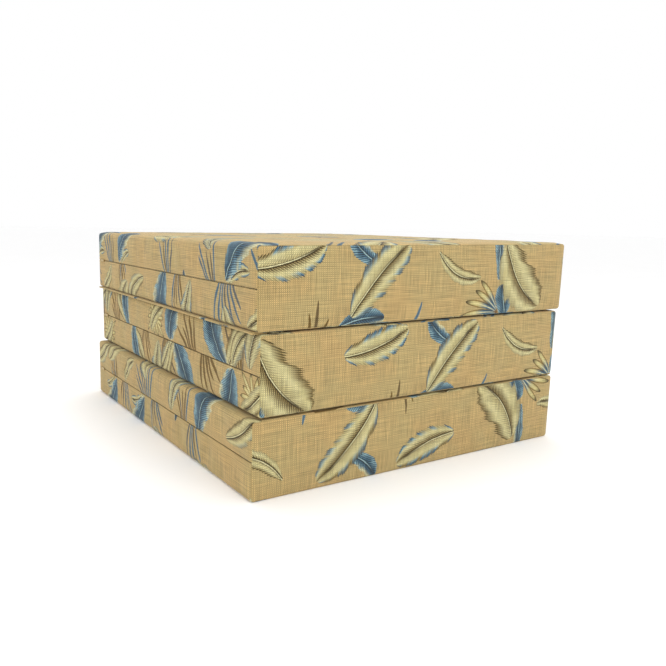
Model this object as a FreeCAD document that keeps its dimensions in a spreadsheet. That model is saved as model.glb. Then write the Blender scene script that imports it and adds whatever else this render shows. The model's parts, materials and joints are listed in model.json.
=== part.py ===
# Three-fold foam mattress, folded into a stack of three panels.
#
# Frame: +Z up, origin on the floor under the middle of the stack. X runs across the folds, from the side
# with the zips (-X) to the other side, and Y runs along the folds, across the width of the mattress.
# The bottom and middle panels are joined at the +X side, the middle and top panels at the -X side.
# All three panels are the same assembly: a foam core in a cloth cover with a concealed zip at -X.
import FreeCAD, Part
import os
import Sketcher

# Driving sizes, in millimetres.
SIZES = {
    # foam panels in their covers
    "panel_length": 634,
    "panel_width": 700,
    "panel_thickness": 116.5,
    "middle_inset": 13,
    "bottom_offset": -1,
    "middle_offset": 3.5,
    "top_offset": 4,
    "cloth_thickness": 1.2,
    "edge_radius": 9,
    "foam_clearance": 0.25,
    "zip_recess_margin": 2,
    "zip_recess_clearance": 0.5,
    # cloth leaves of the two folds
    "leaf_thickness": 1.5,
    "leaf_clearance": 0.3,
    "leaf_depth": 48,
    "leaf_end_inset": 6,
    "leaf_edge_clearance": 0.2,
    "fold_reach": 2,
    # zip
    "zip_end_margin": 30,
    "running_clearance": 0.3,
    "tape_width": 12,
    "tape_thickness": 0.6,
    "coil_size": 1.6,
    "coil_radius": 0.6,
    "stop_length": 3,
    # slider and its puller
    "slider_length": 9,
    "slider_wall": 0.8,
    "lug_thickness": 1,
    "eye_radius": 1.5,
    "pin_standoff": 1.5,
    "pin_radius": 0.62,
    "pin_clearance": 0.08,
    "puller_length": 22,
    "puller_width": 5,
    "puller_thickness": 1.4,
    "puller_eye_clearance": 1.1,
    "puller_side_clearance": 0.25,
    "puller_hole_radius": 1.2,
    "puller_corner_radius": 1.2,
}

doc = FreeCAD.newDocument("FoldingMattress")
sheet = doc.addObject("Spreadsheet::Sheet", "Sizes")
for row, (alias, size) in enumerate(SIZES.items(), start=1):
    sheet.set(f"A{row}", alias)
    sheet.set(f"B{row}", str(size))
    sheet.setAlias(f"B{row}", alias)
doc.recompute()

# Lengths that follow from the driving sizes, as expressions.
THICKNESS = "Sizes.panel_thickness"
WIDTH = "Sizes.panel_width"
CLOTH = "Sizes.cloth_thickness"
SEAM = "(Sizes.panel_thickness / 2)"
LINING = "(Sizes.cloth_thickness + Sizes.foam_clearance)"
PANEL_GAP = "(2 * Sizes.leaf_thickness + Sizes.leaf_clearance)"
MIDDLE_LENGTH = "(Sizes.panel_length - Sizes.middle_inset)"
SLIT = "(Sizes.lug_thickness + 2 * Sizes.running_clearance)"
ZIP_LENGTH = "(Sizes.panel_width - 2 * Sizes.zip_end_margin)"
TAPE_BACK = "(Sizes.cloth_thickness + Sizes.tape_thickness)"
COIL_BACK = f"({TAPE_BACK} + Sizes.coil_size)"
COIL_REACH = f"({SLIT} / 2 + Sizes.coil_size)"
SLIDER_BACK = f"({COIL_BACK} + Sizes.running_clearance + Sizes.slider_wall)"
RECESS_DEPTH = f"({SLIDER_BACK} + Sizes.zip_recess_clearance)"
SLIDER_PARK = f"({ZIP_LENGTH} / 2 - Sizes.stop_length - Sizes.running_clearance - Sizes.slider_length / 2)"

# Each panel's length and the place of its underside's centre in the stack.
PANELS = {
    "bottom": {"length": "Sizes.panel_length", "x": "Sizes.bottom_offset", "z": "0"},
    "middle": {"length": MIDDLE_LENGTH, "x": "Sizes.middle_offset", "z": f"({THICKNESS} + {PANEL_GAP})"},
    "top": {
        "length": "Sizes.panel_length", "x": "Sizes.top_offset",
        "z": f"(2 * {THICKNESS} + 2 * {PANEL_GAP})",
    },
}

# The folds turn about lines just outside the faces that they join.
ZIP_SIDE_FOLD = (
    f"(min(Sizes.top_offset - Sizes.panel_length / 2; Sizes.middle_offset - {MIDDLE_LENGTH} / 2)"
    " - Sizes.fold_reach)"
)
BACK_SIDE_FOLD = (
    f"(max(Sizes.bottom_offset + Sizes.panel_length / 2; Sizes.middle_offset + {MIDDLE_LENGTH} / 2)"
    " + Sizes.fold_reach)"
)

# A fillet can take nearly all of half a width and leave a sliver of flat between two of them.
FULL_ROUND = 0.98

subparts = []


def number(expression):
    """The expression's present value, as a plain number."""
    return float(sheet.evalExpression(expression.replace("Sizes.", "")))


def place(piece, x, y, z):
    """Put a piece at the place that the three expressions give."""
    for axis, expression in zip("xyz", (x, y, z)):
        piece.setExpression(f"Placement.Base.{axis}", expression)


def keep(piece, label):
    """List a finished sub-part under its name."""
    piece.Label = label
    subparts.append(piece)
    return piece


def new_body(label):
    return doc.addObject("PartDesign::Body", label + "_body")


def new_sketch(body, name, plane, offset="0"):
    """An empty sketch on one of the body's origin planes, moved along the plane's normal by offset."""
    sketch = body.newObject("Sketcher::SketchObject", name)
    support = next(feature for feature in body.Origin.OriginFeatures if feature.Role == plane)
    sketch.AttachmentSupport = [(support, "")]
    sketch.MapMode = "FlatFace"
    sketch.setExpression("AttachmentOffset.Base.z", offset)
    return sketch


def tie_point(sketch, geometry, point, x, y):
    """Hold a point of the sketch at coordinates given by two expressions."""
    for kind, expression in (("DistanceX", x), ("DistanceY", y)):
        held = Sketcher.Constraint(kind, -1, 1, geometry, point, number(expression))
        index = sketch.addConstraint(held)
        sketch.setExpression(f"Constraints[{index}]", expression)


def draw_polygon(sketch, corners):
    """A closed outline of straight lines through corners, which are pairs of expressions."""
    points = [FreeCAD.Vector(number(x), number(y), 0) for x, y in corners]
    first = sketch.GeometryCount
    count = len(points)
    for i, point in enumerate(points):
        sketch.addGeometry(Part.LineSegment(point, points[(i + 1) % count]), False)
    for i, (x, y) in enumerate(corners):
        sketch.addConstraint(Sketcher.Constraint("Coincident", first + i, 2, first + (i + 1) % count, 1))
        tie_point(sketch, first + i, 1, x, y)


def draw_circle(sketch, x, y, radius):
    """A circle whose centre and radius are expressions."""
    centre = FreeCAD.Vector(number(x), number(y), 0)
    circle = sketch.addGeometry(Part.Circle(centre, FreeCAD.Vector(0, 0, 1), number(radius)), False)
    tie_point(sketch, circle, 3, x, y)
    index = sketch.addConstraint(Sketcher.Constraint("Radius", circle, number(radius)))
    sketch.setExpression(f"Constraints[{index}]", radius)


def box_corners(x_low, x_high, y_low, y_high):
    return [(x_low, y_low), (x_high, y_low), (x_high, y_high), (x_low, y_high)]


def add_feature(body, kind, sketch, length, side="One side", reverse=False):
    """A pad or pocket of the sketch. A symmetric one has half its length on each side."""
    feature = body.newObject("PartDesign::" + kind, f"{sketch.Name}_{kind.lower()}")
    feature.Profile = sketch
    feature.SideType = side
    feature.Reversed = reverse
    feature.setExpression("Length", length)
    sketch.Visibility = False
    doc.recompute()
    return feature


def round_edges(body, name, direction, through, radius):
    """Fillet the straight edges that run along direction and cross the listed points.

    Each point has None for its coordinate along the edge.
    """
    feature = body.Tip
    names = []
    for index, edge in enumerate(feature.Shape.Edges, start=1):
        if not isinstance(edge.Curve, Part.Line):
            continue
        if abs(abs(edge.Curve.Direction.dot(direction)) - 1) > 1e-6:
            continue
        middle = edge.CenterOfMass
        for point in through:
            steps = [abs(a - number(b)) for a, b in zip(middle, point) if b is not None]
            if max(steps) < 1e-4:
                names.append(f"Edge{index}")
    fillet = body.newObject("PartDesign::Fillet", name)
    fillet.Base = (feature, names)
    fillet.setExpression("Radius", radius)
    doc.recompute()
    return fillet


ALONG_X = FreeCAD.Vector(1, 0, 0)
ALONG_Y = FreeCAD.Vector(0, 1, 0)
ALONG_Z = FreeCAD.Vector(0, 0, 1)


def make_foam_core(panel, size):
    """The foam block, with a shallow recess along its -X side for the zip."""
    label = f"{panel}_foam_core"
    body = new_body(label)
    left = f"({LINING} - {size['length']} / 2)"
    right = f"({size['length']} / 2 - {LINING})"
    low = LINING
    high = f"({THICKNESS} - {LINING})"
    recess = f"({RECESS_DEPTH} - {size['length']} / 2)"
    recess_low = f"({SEAM} - Sizes.tape_width - Sizes.zip_recess_margin)"
    recess_high = f"({SEAM} + Sizes.tape_width + Sizes.zip_recess_margin)"
    sketch = new_sketch(body, label + "_outline", "XZ_Plane")
    draw_polygon(
        sketch,
        [
            (left, low), (right, low), (right, high), (left, high),
            (left, recess_high), (recess, recess_high), (recess, recess_low), (left, recess_low),
        ],
    )
    add_feature(body, "Pad", sketch, f"{WIDTH} - 2 * {LINING}", side="Symmetric")
    corners = [(x, None, z) for x in (left, right) for z in (low, high)]
    round_edges(body, label + "_edges", ALONG_Y, corners, f"Sizes.edge_radius - {LINING}")
    return keep(body, label)


def make_wrap_cloth(panel, size, side):
    """Half of the cover's wrap: one large face and the half-height sides that turn down or up from it.

    The two halves meet at mid-height. At -X they leave the zip's slit between them.
    """
    label = f"{panel}_{side}_cloth"
    body = new_body(label)
    left = f"(-{size['length']} / 2)"
    right = f"({size['length']} / 2)"
    inner_left = f"({CLOTH} - {size['length']} / 2)"
    inner_right = f"({size['length']} / 2 - {CLOTH})"
    if side == "upper":
        outer, inner = THICKNESS, f"({THICKNESS} - {CLOTH})"
        slit_edge = f"({SEAM} + {SLIT} / 2)"
    else:
        outer, inner = "0", CLOTH
        slit_edge = f"({SEAM} - {SLIT} / 2)"
    sketch = new_sketch(body, label + "_outline", "XZ_Plane")
    draw_polygon(
        sketch,
        [
            (left, SEAM), (left, outer), (right, outer), (right, SEAM),
            (inner_right, SEAM), (inner_right, inner), (inner_left, inner), (inner_left, SEAM),
        ],
    )
    add_feature(body, "Pad", sketch, f"{WIDTH} - 2 * {CLOTH}", side="Symmetric")
    round_edges(
        body, label + "_outer_edges", ALONG_Y, [(left, None, outer), (right, None, outer)],
        "Sizes.edge_radius",
    )
    round_edges(
        body, label + "_inner_edges", ALONG_Y, [(inner_left, None, inner), (inner_right, None, inner)],
        f"Sizes.edge_radius - {CLOTH}",
    )
    slit = new_sketch(body, label + "_slit", "YZ_Plane", offset=left)
    draw_polygon(slit, box_corners(f"(-{ZIP_LENGTH} / 2)", f"({ZIP_LENGTH} / 2)", SEAM, slit_edge))
    whole = body.Shape.Volume
    add_feature(body, "Pocket", slit, CLOTH, reverse=True)
    cut = number(f"{CLOTH} * {ZIP_LENGTH} * {SLIT} / 2")
    if abs(whole - body.Shape.Volume - cut) > 0.01 * cut:
        raise RuntimeError(label + ": the zip's slit wasn't cut")
    return keep(body, label)


def make_end_band(panel, size, side):
    """The separate piece of cloth that closes one end of the cover."""
    label = f"{panel}_{side}_band"
    body = new_body(label)
    left = f"(-{size['length']} / 2)"
    right = f"({size['length']} / 2)"
    # the sketch plane's normal is -Y, so the band grows towards -Y
    offset = f"({WIDTH} / 2 - {CLOTH})" if side == "front" else f"(-{WIDTH} / 2)"
    sketch = new_sketch(body, label + "_outline", "XZ_Plane", offset=offset)
    draw_polygon(sketch, box_corners(left, right, "0", THICKNESS))
    add_feature(body, "Pad", sketch, CLOTH)
    corners = [(x, None, z) for x in (left, right) for z in ("0", THICKNESS)]
    round_edges(body, label + "_corners", ALONG_Y, corners, "Sizes.edge_radius")
    return keep(body, label)


def make_zip_tape(panel, size, side):
    """One of the zip's two tapes, sewn flat behind a lip of the cover."""
    label = f"{panel}_zip_tape_{side}"
    tape = doc.addObject("Part::Box", label)
    tape.setExpression("Length", "Sizes.tape_thickness")
    tape.setExpression("Width", f"{WIDTH} - 2 * {LINING}")
    tape.setExpression("Height", f"Sizes.tape_width - {SLIT} / 2")
    low = f"{SEAM} + {SLIT} / 2" if side == "upper" else f"{SEAM} - Sizes.tape_width"
    place(
        tape,
        f"{size['x']} - {size['length']} / 2 + {CLOTH}",
        f"{LINING} - {WIDTH} / 2",
        f"{size['z']} + {low}",
    )
    return keep(tape, label)


def make_zip_coil(panel, size, side):
    """The row of teeth along one tape's edge, as a solid rod between the stops."""
    label = f"{panel}_zip_coil_{side}"
    body = new_body(label)
    near = f"({TAPE_BACK} - {size['length']} / 2)"
    far = f"({COIL_BACK} - {size['length']} / 2)"
    sign = "+" if side == "upper" else "-"
    low = f"({SEAM} {sign} {SLIT} / 2)"
    high = f"({SEAM} {sign} {COIL_REACH})"
    sketch = new_sketch(body, label + "_outline", "XZ_Plane")
    draw_polygon(sketch, box_corners(near, far, low, high))
    add_feature(body, "Pad", sketch, f"{ZIP_LENGTH} - 2 * Sizes.stop_length", side="Symmetric")
    round_edges(
        body, label + "_edges", ALONG_Y, [(far, None, low), (far, None, high)], "Sizes.coil_radius"
    )
    return keep(body, label)


def make_zip_stops(panel, size):
    """The two stops that hold the ends of the zip's rows of teeth together."""
    label = f"{panel}_zip_stops"
    stops = []
    for end, y in (("near", f"-{ZIP_LENGTH} / 2"), ("far", f"{ZIP_LENGTH} / 2 - Sizes.stop_length")):
        stop = doc.addObject("Part::Box", f"{label}_{end}")
        stop.setExpression("Length", "Sizes.coil_size")
        stop.setExpression("Width", "Sizes.stop_length")
        stop.setExpression("Height", f"2 * {COIL_REACH}")
        place(stop, f"{TAPE_BACK} - {size['length']} / 2", y, f"{SEAM} - {COIL_REACH}")
        stops.append(stop)
    group = doc.addObject("Part::Compound", label)
    group.Links = stops
    return keep(group, label)


def make_zip_slider(panel):
    """The slider: a channel behind the teeth and a lug through the slit, with an eye for the puller.

    It is drawn about the eye's axis, with the cloth's face at x = pin_standoff.
    """
    label = f"{panel}_zip_slider"
    body = new_body(label)
    tips = f"(Sizes.pin_standoff + {TAPE_BACK} + Sizes.running_clearance)"
    floor = f"(Sizes.pin_standoff + {COIL_BACK} + Sizes.running_clearance)"
    back = f"(Sizes.pin_standoff + {SLIDER_BACK})"
    inside = f"({COIL_REACH} + Sizes.running_clearance)"
    outside = f"({inside} + Sizes.slider_wall)"
    channel = new_sketch(body, label + "_channel", "XZ_Plane")
    draw_polygon(
        channel,
        [
            (back, f"-{outside}"), (back, outside), (tips, outside), (tips, inside),
            (floor, inside), (floor, f"-{inside}"), (tips, f"-{inside}"), (tips, f"-{outside}"),
        ],
    )
    add_feature(body, "Pad", channel, "Sizes.slider_length", side="Symmetric")
    lug = new_sketch(body, label + "_lug", "XY_Plane")
    draw_polygon(lug, box_corners("-Sizes.eye_radius", back, "-Sizes.eye_radius", "Sizes.eye_radius"))
    add_feature(body, "Pad", lug, "Sizes.lug_thickness", side="Symmetric")
    nose = [("-Sizes.eye_radius", y, None) for y in ("-Sizes.eye_radius", "Sizes.eye_radius")]
    round_edges(body, label + "_nose", ALONG_Z, nose, f"{FULL_ROUND} * Sizes.eye_radius")
    eye = new_sketch(body, label + "_eye", "XY_Plane")
    draw_circle(eye, "0", "0", "Sizes.pin_radius + Sizes.pin_clearance")
    add_feature(body, "Pocket", eye, "2 * Sizes.lug_thickness", side="Symmetric")
    return keep(body, label)


def make_zip_puller(panel):
    """The puller: a flat tab with two arms and a pin between them, drawn about the pin's axis."""
    label = f"{panel}_zip_puller"
    body = new_body(label)
    half = "(Sizes.puller_thickness / 2)"
    side = "(Sizes.puller_width / 2)"
    tab = new_sketch(body, label + "_tab", "XY_Plane")
    draw_polygon(tab, box_corners(f"-{half}", half, f"-{half}", "Sizes.puller_length"))
    add_feature(body, "Pad", tab, "Sizes.puller_width", side="Symmetric")
    arm_tips = [(x, f"-{half}", None) for x in (f"-{half}", half)]
    round_edges(body, label + "_arm_tips", ALONG_Z, arm_tips, f"{FULL_ROUND} * {half}")
    tab_corners = [(None, "Sizes.puller_length", z) for z in (f"-{side}", side)]
    round_edges(body, label + "_corners", ALONG_X, tab_corners, "Sizes.puller_corner_radius")
    window = new_sketch(body, label + "_window", "YZ_Plane")
    reach = "(Sizes.lug_thickness / 2 + Sizes.puller_side_clearance)"
    root = "(Sizes.eye_radius + Sizes.puller_eye_clearance)"
    draw_polygon(window, box_corners("-Sizes.puller_thickness", root, f"-{reach}", reach))
    add_feature(body, "Pocket", window, "2 * Sizes.puller_thickness", side="Symmetric")
    hole = new_sketch(body, label + "_hole", "YZ_Plane")
    draw_circle(hole, f"Sizes.puller_length - {side}", "0", "Sizes.puller_hole_radius")
    add_feature(body, "Pocket", hole, "2 * Sizes.puller_thickness", side="Symmetric")
    pin = new_sketch(body, label + "_pin", "XY_Plane")
    draw_circle(pin, "0", "0", "Sizes.pin_radius")
    add_feature(body, "Pad", pin, f"{side} + {reach}", side="Symmetric")
    return keep(body, label)


def make_hinge_leaf(label, fold, side, z):
    """One leaf of a fold's cloth strip. It lies flat on its panel and ends just inside the fold's line."""
    leaf = doc.addObject("Part::Box", label + "_strip")
    leaf.setExpression("Length", "Sizes.leaf_depth")
    leaf.setExpression("Width", f"{WIDTH} - 2 * Sizes.leaf_end_inset")
    leaf.setExpression("Height", "Sizes.leaf_thickness")
    if side == "zip":
        x = f"{fold} + Sizes.leaf_edge_clearance"
    else:
        x = f"{fold} - Sizes.leaf_edge_clearance - Sizes.leaf_depth"
    place(leaf, x, f"Sizes.leaf_end_inset - {WIDTH} / 2", z)
    return keep(leaf, label)


for panel, size in PANELS.items():
    for piece in (
        make_foam_core(panel, size),
        make_wrap_cloth(panel, size, "upper"),
        make_wrap_cloth(panel, size, "lower"),
        make_end_band(panel, size, "front"),
        make_end_band(panel, size, "rear"),
        make_zip_coil(panel, size, "upper"),
        make_zip_coil(panel, size, "lower"),
        make_zip_stops(panel, size),
    ):
        place(piece, size["x"], "0", size["z"])
    make_zip_tape(panel, size, "upper")
    make_zip_tape(panel, size, "lower")
    for piece in (make_zip_slider(panel), make_zip_puller(panel)):
        place(
            piece,
            f"{size['x']} - {size['length']} / 2 - Sizes.pin_standoff",
            SLIDER_PARK,
            f"{size['z']} + {SEAM}",
        )

LOWER_FOLD_BASE = THICKNESS
UPPER_FOLD_BASE = f"(2 * {THICKNESS} + {PANEL_GAP})"
LEAF_STEP = "(Sizes.leaf_thickness + Sizes.leaf_clearance)"
make_hinge_leaf("bottom_hinge_leaf", BACK_SIDE_FOLD, "back", LOWER_FOLD_BASE)
make_hinge_leaf("middle_lower_hinge_leaf", BACK_SIDE_FOLD, "back", f"{LOWER_FOLD_BASE} + {LEAF_STEP}")
make_hinge_leaf("middle_upper_hinge_leaf", ZIP_SIDE_FOLD, "zip", UPPER_FOLD_BASE)
make_hinge_leaf("top_hinge_leaf", ZIP_SIDE_FOLD, "zip", f"{UPPER_FOLD_BASE} + {LEAF_STEP}")

doc.recompute()
for item in doc.Objects:
    if "Invalid" in item.State or "Error" in item.State:
        raise RuntimeError(f"{item.Label} is {item.State}")
for piece in subparts:
    if piece.Shape.isNull() or not piece.Shape.isValid():
        raise RuntimeError(piece.Label + " has no valid shape")

os.makedirs("parts", exist_ok=True)
for piece in subparts:
    piece.Shape.exportStep(f"parts/{piece.Label}.step")
print("fold lines at x", number(BACK_SIDE_FOLD), number(ZIP_SIDE_FOLD))
fold_heights = (f"{THICKNESS} + {PANEL_GAP} / 2", f"2 * {THICKNESS} + 1.5 * {PANEL_GAP}")
print("fold lines at z", [number(height) for height in fold_heights])
print("slider's place along y", number(SLIDER_PARK))
print(len(subparts), "sub-parts written")
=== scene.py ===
"""Looks of the folded three-fold foam mattress, built around its CAD frame. Everything is in metres."""
import json
import math

import bpy
import numpy as np
from mathutils import Matrix, Vector


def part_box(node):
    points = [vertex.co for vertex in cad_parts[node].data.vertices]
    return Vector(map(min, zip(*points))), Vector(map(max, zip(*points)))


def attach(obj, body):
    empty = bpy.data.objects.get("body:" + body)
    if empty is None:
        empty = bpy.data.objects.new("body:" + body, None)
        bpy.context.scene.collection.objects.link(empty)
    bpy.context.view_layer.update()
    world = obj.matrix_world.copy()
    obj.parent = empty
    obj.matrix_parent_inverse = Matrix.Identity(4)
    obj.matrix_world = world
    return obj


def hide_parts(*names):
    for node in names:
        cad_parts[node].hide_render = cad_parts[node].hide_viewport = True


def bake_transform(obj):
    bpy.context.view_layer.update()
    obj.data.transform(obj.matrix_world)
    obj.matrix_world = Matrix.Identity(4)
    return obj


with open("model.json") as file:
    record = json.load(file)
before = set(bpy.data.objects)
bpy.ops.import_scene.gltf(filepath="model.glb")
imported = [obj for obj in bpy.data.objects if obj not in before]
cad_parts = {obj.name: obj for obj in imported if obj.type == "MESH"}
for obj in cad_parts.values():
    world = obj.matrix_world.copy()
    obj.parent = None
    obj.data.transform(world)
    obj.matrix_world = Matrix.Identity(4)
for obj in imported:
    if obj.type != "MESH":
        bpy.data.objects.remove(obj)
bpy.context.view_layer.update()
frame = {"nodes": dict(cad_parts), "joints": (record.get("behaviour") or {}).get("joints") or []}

MM = 0.001
PANELS = ("bottom", "middle", "top")
# The UV map that holds each cloth piece's place in the print, in metres.
CLOTH_MAP = "cloth"

# ---------------------------------------------------------------- sizes

# The cloth, its rounded edges along the panel and round the end bands, and the lips of the zip's slit.
CLOTH = 0.9 * MM
EDGE_RADIUS = 5.5 * MM
BAND_EDGE_RADIUS = 2.6 * MM
LIP_RADIUS = 1.1 * MM
ZIP_GAP = 1.1 * MM
# How far the wrap's edge and the end band's edge turn in towards the seam between them, in degrees.
WRAP_TURN = 52
BAND_TURN = 51.3
# The band's outermost ring moves in by this share of its edge radius, and by less in the corners.
BAND_INSET = 0.30
BAND_CORNER_INSET = 0.21

# The quads' length on small faces and on long ones, along the hinge strips and in the simulated cover.
SHORT_STEP = 6 * MM
LONG_STEP = 9 * MM
STRIP_STEP = 12 * MM
GRID_STEP = 12.0 * MM
# A distance too small to see, which keeps divisions clear of zero.
TINY = 0.05 * MM

# How far the cover may swell out of its box: freely where nothing touches it, a little where the panels
# rest on each other, and not at all on the floor. The sides that meet when the mattress lies open get a
# little less.
FREE_SWELL = 3.2 * MM
SIDE_SWELL = 2.4 * MM
RESTING_SWELL = 1.4 * MM
# The cover lies flat under the hinge strips, up to the first distance from their side, and swells in full
# from the second. Each strip lies on a panel's under (0) or upper (1) face, at the low (0) or high (1)
# end of x.
STRIP_REACH = (0.048, 0.080)
STRIP_SIDES = {("bottom", 1): 1, ("middle", 0): 1, ("middle", 1): 0, ("top", 0): 0}

# The foam block stands clear of its cover, and more so of the zip. Its corners are rounded.
FOAM_MARGIN = 1.0 * MM
FOAM_ZIP_MARGIN = 3.2 * MM
FOAM_RADIUS = 8 * MM
FOAM_CELLS = (14, 16, 6)


def panel_box(panel):
    """The lowest and highest corners of a panel's cover, as numpy vectors."""
    parts = ("upper_cloth", "lower_cloth", "front_band", "rear_band")
    corners = [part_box(f"{panel}_{part}") for part in parts]
    low = np.min([np.array(low) for low, _ in corners], axis=0)
    high = np.max([np.array(high) for _, high in corners], axis=0)
    return low, high


# ---------------------------------------------------------------- small tools


def srgb(red, green, blue):
    """A linear RGBA colour from 0-255 sRGB values."""

    def linear(value):
        value /= 255.0
        return value / 12.92 if value <= 0.04045 else ((value + 0.055) / 1.055) ** 2.4

    return (linear(red), linear(green), linear(blue), 1.0)


def new_object(name, data):
    """A new object in the scene that shows a mesh, a light or a camera."""
    obj = bpy.data.objects.new(name, data)
    bpy.context.scene.collection.objects.link(obj)
    return obj


def smooth(mesh):
    mesh.polygons.foreach_set("use_smooth", [True] * len(mesh.polygons))


def quads_of(index):
    """The quads between neighbours in a grid of point numbers."""
    corners = [index[:-1, :-1], index[1:, :-1], index[1:, 1:], index[:-1, 1:]]
    return np.stack(corners, axis=-1).reshape(-1, 4)


def grid_mesh(name, points, uvs):
    """A sheet of quads through points[i][j], with a UV in metres for each point."""
    rows, columns = points.shape[:2]
    quads = quads_of(np.arange(rows * columns).reshape(rows, columns))
    mesh = bpy.data.meshes.new(name)
    mesh.from_pydata(points.reshape(-1, 3).tolist(), [], quads.tolist())
    layer = mesh.uv_layers.new(name=CLOTH_MAP)
    flat = uvs.reshape(-1, 2)
    layer.data.foreach_set("uv", flat[quads.reshape(-1)].reshape(-1))
    smooth(mesh)
    return mesh


def box_grid(counts):
    """A closed box of quads, with counts[axis] cells along each axis.

    Gives each point's place as three cell counts, the grid of point numbers on each face, and the quads.
    """
    index, grids, faces = {}, {}, []
    for axis in range(3):
        first, second = [i for i in range(3) if i != axis]
        for end in (0, 1):
            grid = np.zeros((counts[first] + 1, counts[second] + 1), int)
            for i, j in np.ndindex(grid.shape):
                key = [0, 0, 0]
                key[axis], key[first], key[second] = end * counts[axis], i, j
                grid[i, j] = index.setdefault(tuple(key), len(index))
            grids[axis, end] = grid
            quads = quads_of(grid)
            if (axis == 1) == (end == 1):
                quads = quads[:, ::-1]
            faces += quads.tolist()
    return np.array(list(index)), grids, faces


def thicken(obj, depth, offset=-1.0):
    """Give a sheet its thickness, inwards from the face that shows, or to both sides where offset is 0."""
    modifier = obj.modifiers.new("thickness", "SOLIDIFY")
    modifier.thickness = depth
    modifier.offset = offset
    modifier.use_even_offset = False
    bpy.context.view_layer.objects.active = obj
    with bpy.context.temp_override(object=obj, active_object=obj):
        bpy.ops.object.modifier_apply(modifier=modifier.name)


# ---------------------------------------------------------------- node tools


class Graph:
    """Short ways to add nodes to one material's tree. Sockets and plain numbers mix freely."""

    def __init__(self, name):
        self.material = bpy.data.materials.new(name)
        self.material.use_nodes = True
        self.tree = self.material.node_tree
        self.tree.nodes.clear()

    def node(self, kind, **settings):
        node = self.tree.nodes.new(kind)
        for key, value in settings.items():
            setattr(node, key, value)
        return node

    def feed(self, socket, value):
        if isinstance(value, bpy.types.NodeSocket):
            self.tree.links.new(value, socket)
        elif isinstance(value, tuple) and len(socket.default_value) == 3:
            socket.default_value = value[:3]
        else:
            socket.default_value = value

    def math(self, operation, *values, clamp=False):
        node = self.node("ShaderNodeMath", operation=operation, use_clamp=clamp)
        for socket, value in zip(node.inputs, values):
            self.feed(socket, value)
        return node.outputs[0]

    def add(self, a, b):
        return self.math("ADD", a, b)

    def sub(self, a, b):
        return self.math("SUBTRACT", a, b)

    def mul(self, a, b):
        return self.math("MULTIPLY", a, b)

    def madd(self, a, b, c):
        return self.math("MULTIPLY_ADD", a, b, c)

    def ramp_up(self, value, low, high):
        """0 below low, 1 above high, smooth between. With low above high it falls instead."""
        node = self.node("ShaderNodeMapRange", interpolation_type="SMOOTHSTEP")
        for socket, given in zip(node.inputs[:5], (value, low, high, 0.0, 1.0)):
            self.feed(socket, given)
        return node.outputs[0]

    def mix(self, factor, a, b):
        node = self.node("ShaderNodeMix", data_type="RGBA")
        self.feed(node.inputs[0], factor)
        self.feed(node.inputs[6], a)
        self.feed(node.inputs[7], b)
        return node.outputs[2]

    def shade(self, colour, factor):
        """colour times a grey factor."""
        node = self.node("ShaderNodeVectorMath", operation="SCALE")
        self.feed(node.inputs[0], colour)
        self.feed(node.inputs["Scale"], factor)
        return node.outputs[0]

    def combine(self, x, y, z=0.0):
        node = self.node("ShaderNodeCombineXYZ")
        for socket, value in zip(node.inputs, (x, y, z)):
            self.feed(socket, value)
        return node.outputs[0]

    def split(self, vector):
        node = self.node("ShaderNodeSeparateXYZ")
        self.feed(node.inputs[0], vector)
        return node.outputs

    def noise(self, vector, scale, detail=2.0, roughness=0.5):
        node = self.node("ShaderNodeTexNoise", noise_dimensions="3D")
        self.feed(node.inputs["Vector"], vector)
        self.feed(node.inputs["Scale"], scale)
        self.feed(node.inputs["Detail"], detail)
        self.feed(node.inputs["Roughness"], roughness)
        return node.outputs[0]

    def stretched_noise(self, across, up, scales, seed=0.0, detail=2.0, roughness=0.5):
        """Noise with a scale of its own across and up."""
        vector = self.combine(self.mul(across, scales[0]), self.mul(up, scales[1]), seed)
        return self.noise(vector, 1.0, detail, roughness)

    def random(self, value, seed=0.0):
        node = self.node("ShaderNodeTexWhiteNoise", noise_dimensions="2D")
        self.feed(node.inputs["Vector"], self.combine(value, seed))
        return node.outputs[0]

    def bump(self, height, distance, normal=None, strength=1.0):
        node = self.node("ShaderNodeBump")
        node.inputs["Strength"].default_value = strength
        node.inputs["Distance"].default_value = distance
        self.feed(node.inputs["Height"], height)
        if normal is not None:
            self.feed(node.inputs["Normal"], normal)
        return node.outputs[0]

    def surface(self, base, roughness, normal=None, **settings):
        shader = self.node("ShaderNodeBsdfPrincipled")
        self.feed(shader.inputs["Base Color"], base)
        self.feed(shader.inputs["Roughness"], roughness)
        if normal is not None:
            self.feed(shader.inputs["Normal"], normal)
        for key, value in settings.items():
            shader.inputs[key.replace("_", " ")].default_value = value
        output = self.node("ShaderNodeOutputMaterial")
        self.tree.links.new(shader.outputs[0], output.inputs[0])
        return self.material


# ---------------------------------------------------------------- printed cloth

# Each layer of the print is CELLS x CELLS cells, with at most one motif in each, and then repeats.
CELLS = 4
CELL = 0.160
BARB_PITCH = 4.6 * MM
# How far a fan's blades curl, in radians for each metre from its centre.
BLADE_CURL = 2.0
# The weave's thread pitches, the scales of the noise that makes its slubs, across a thread and along it,
# and how far ink bleeds along the threads.
WARP = 3.1 * MM
WEFT = 2.8 * MM
SLUB_ACROSS = 520.0
WARP_SLUB_ALONG = 18.0
WEFT_SLUB_ALONG = 16.0
BLEED = 1.2 * MM

GROUND = srgb(170, 151, 102)
SLUB = srgb(177, 150, 99)
CREAM = srgb(190, 178, 120)
PALE = srgb(204, 198, 152)
OLIVE = srgb(106, 82, 32)
DARK_OLIVE = srgb(40, 29, 6)
BLUE = srgb(58, 102, 126)
DEEP_BLUE = srgb(20, 42, 58)
PALE_BLUE = srgb(140, 172, 176)
BROWN = srgb(104, 74, 34)

# How each layer's cells are shifted, across and up.
SHIFTS = {"a": (-0.100, -0.080), "b": (-0.030, 0.0), "c": (0.050, -0.080), "fan": (0.040, 0.0)}

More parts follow.
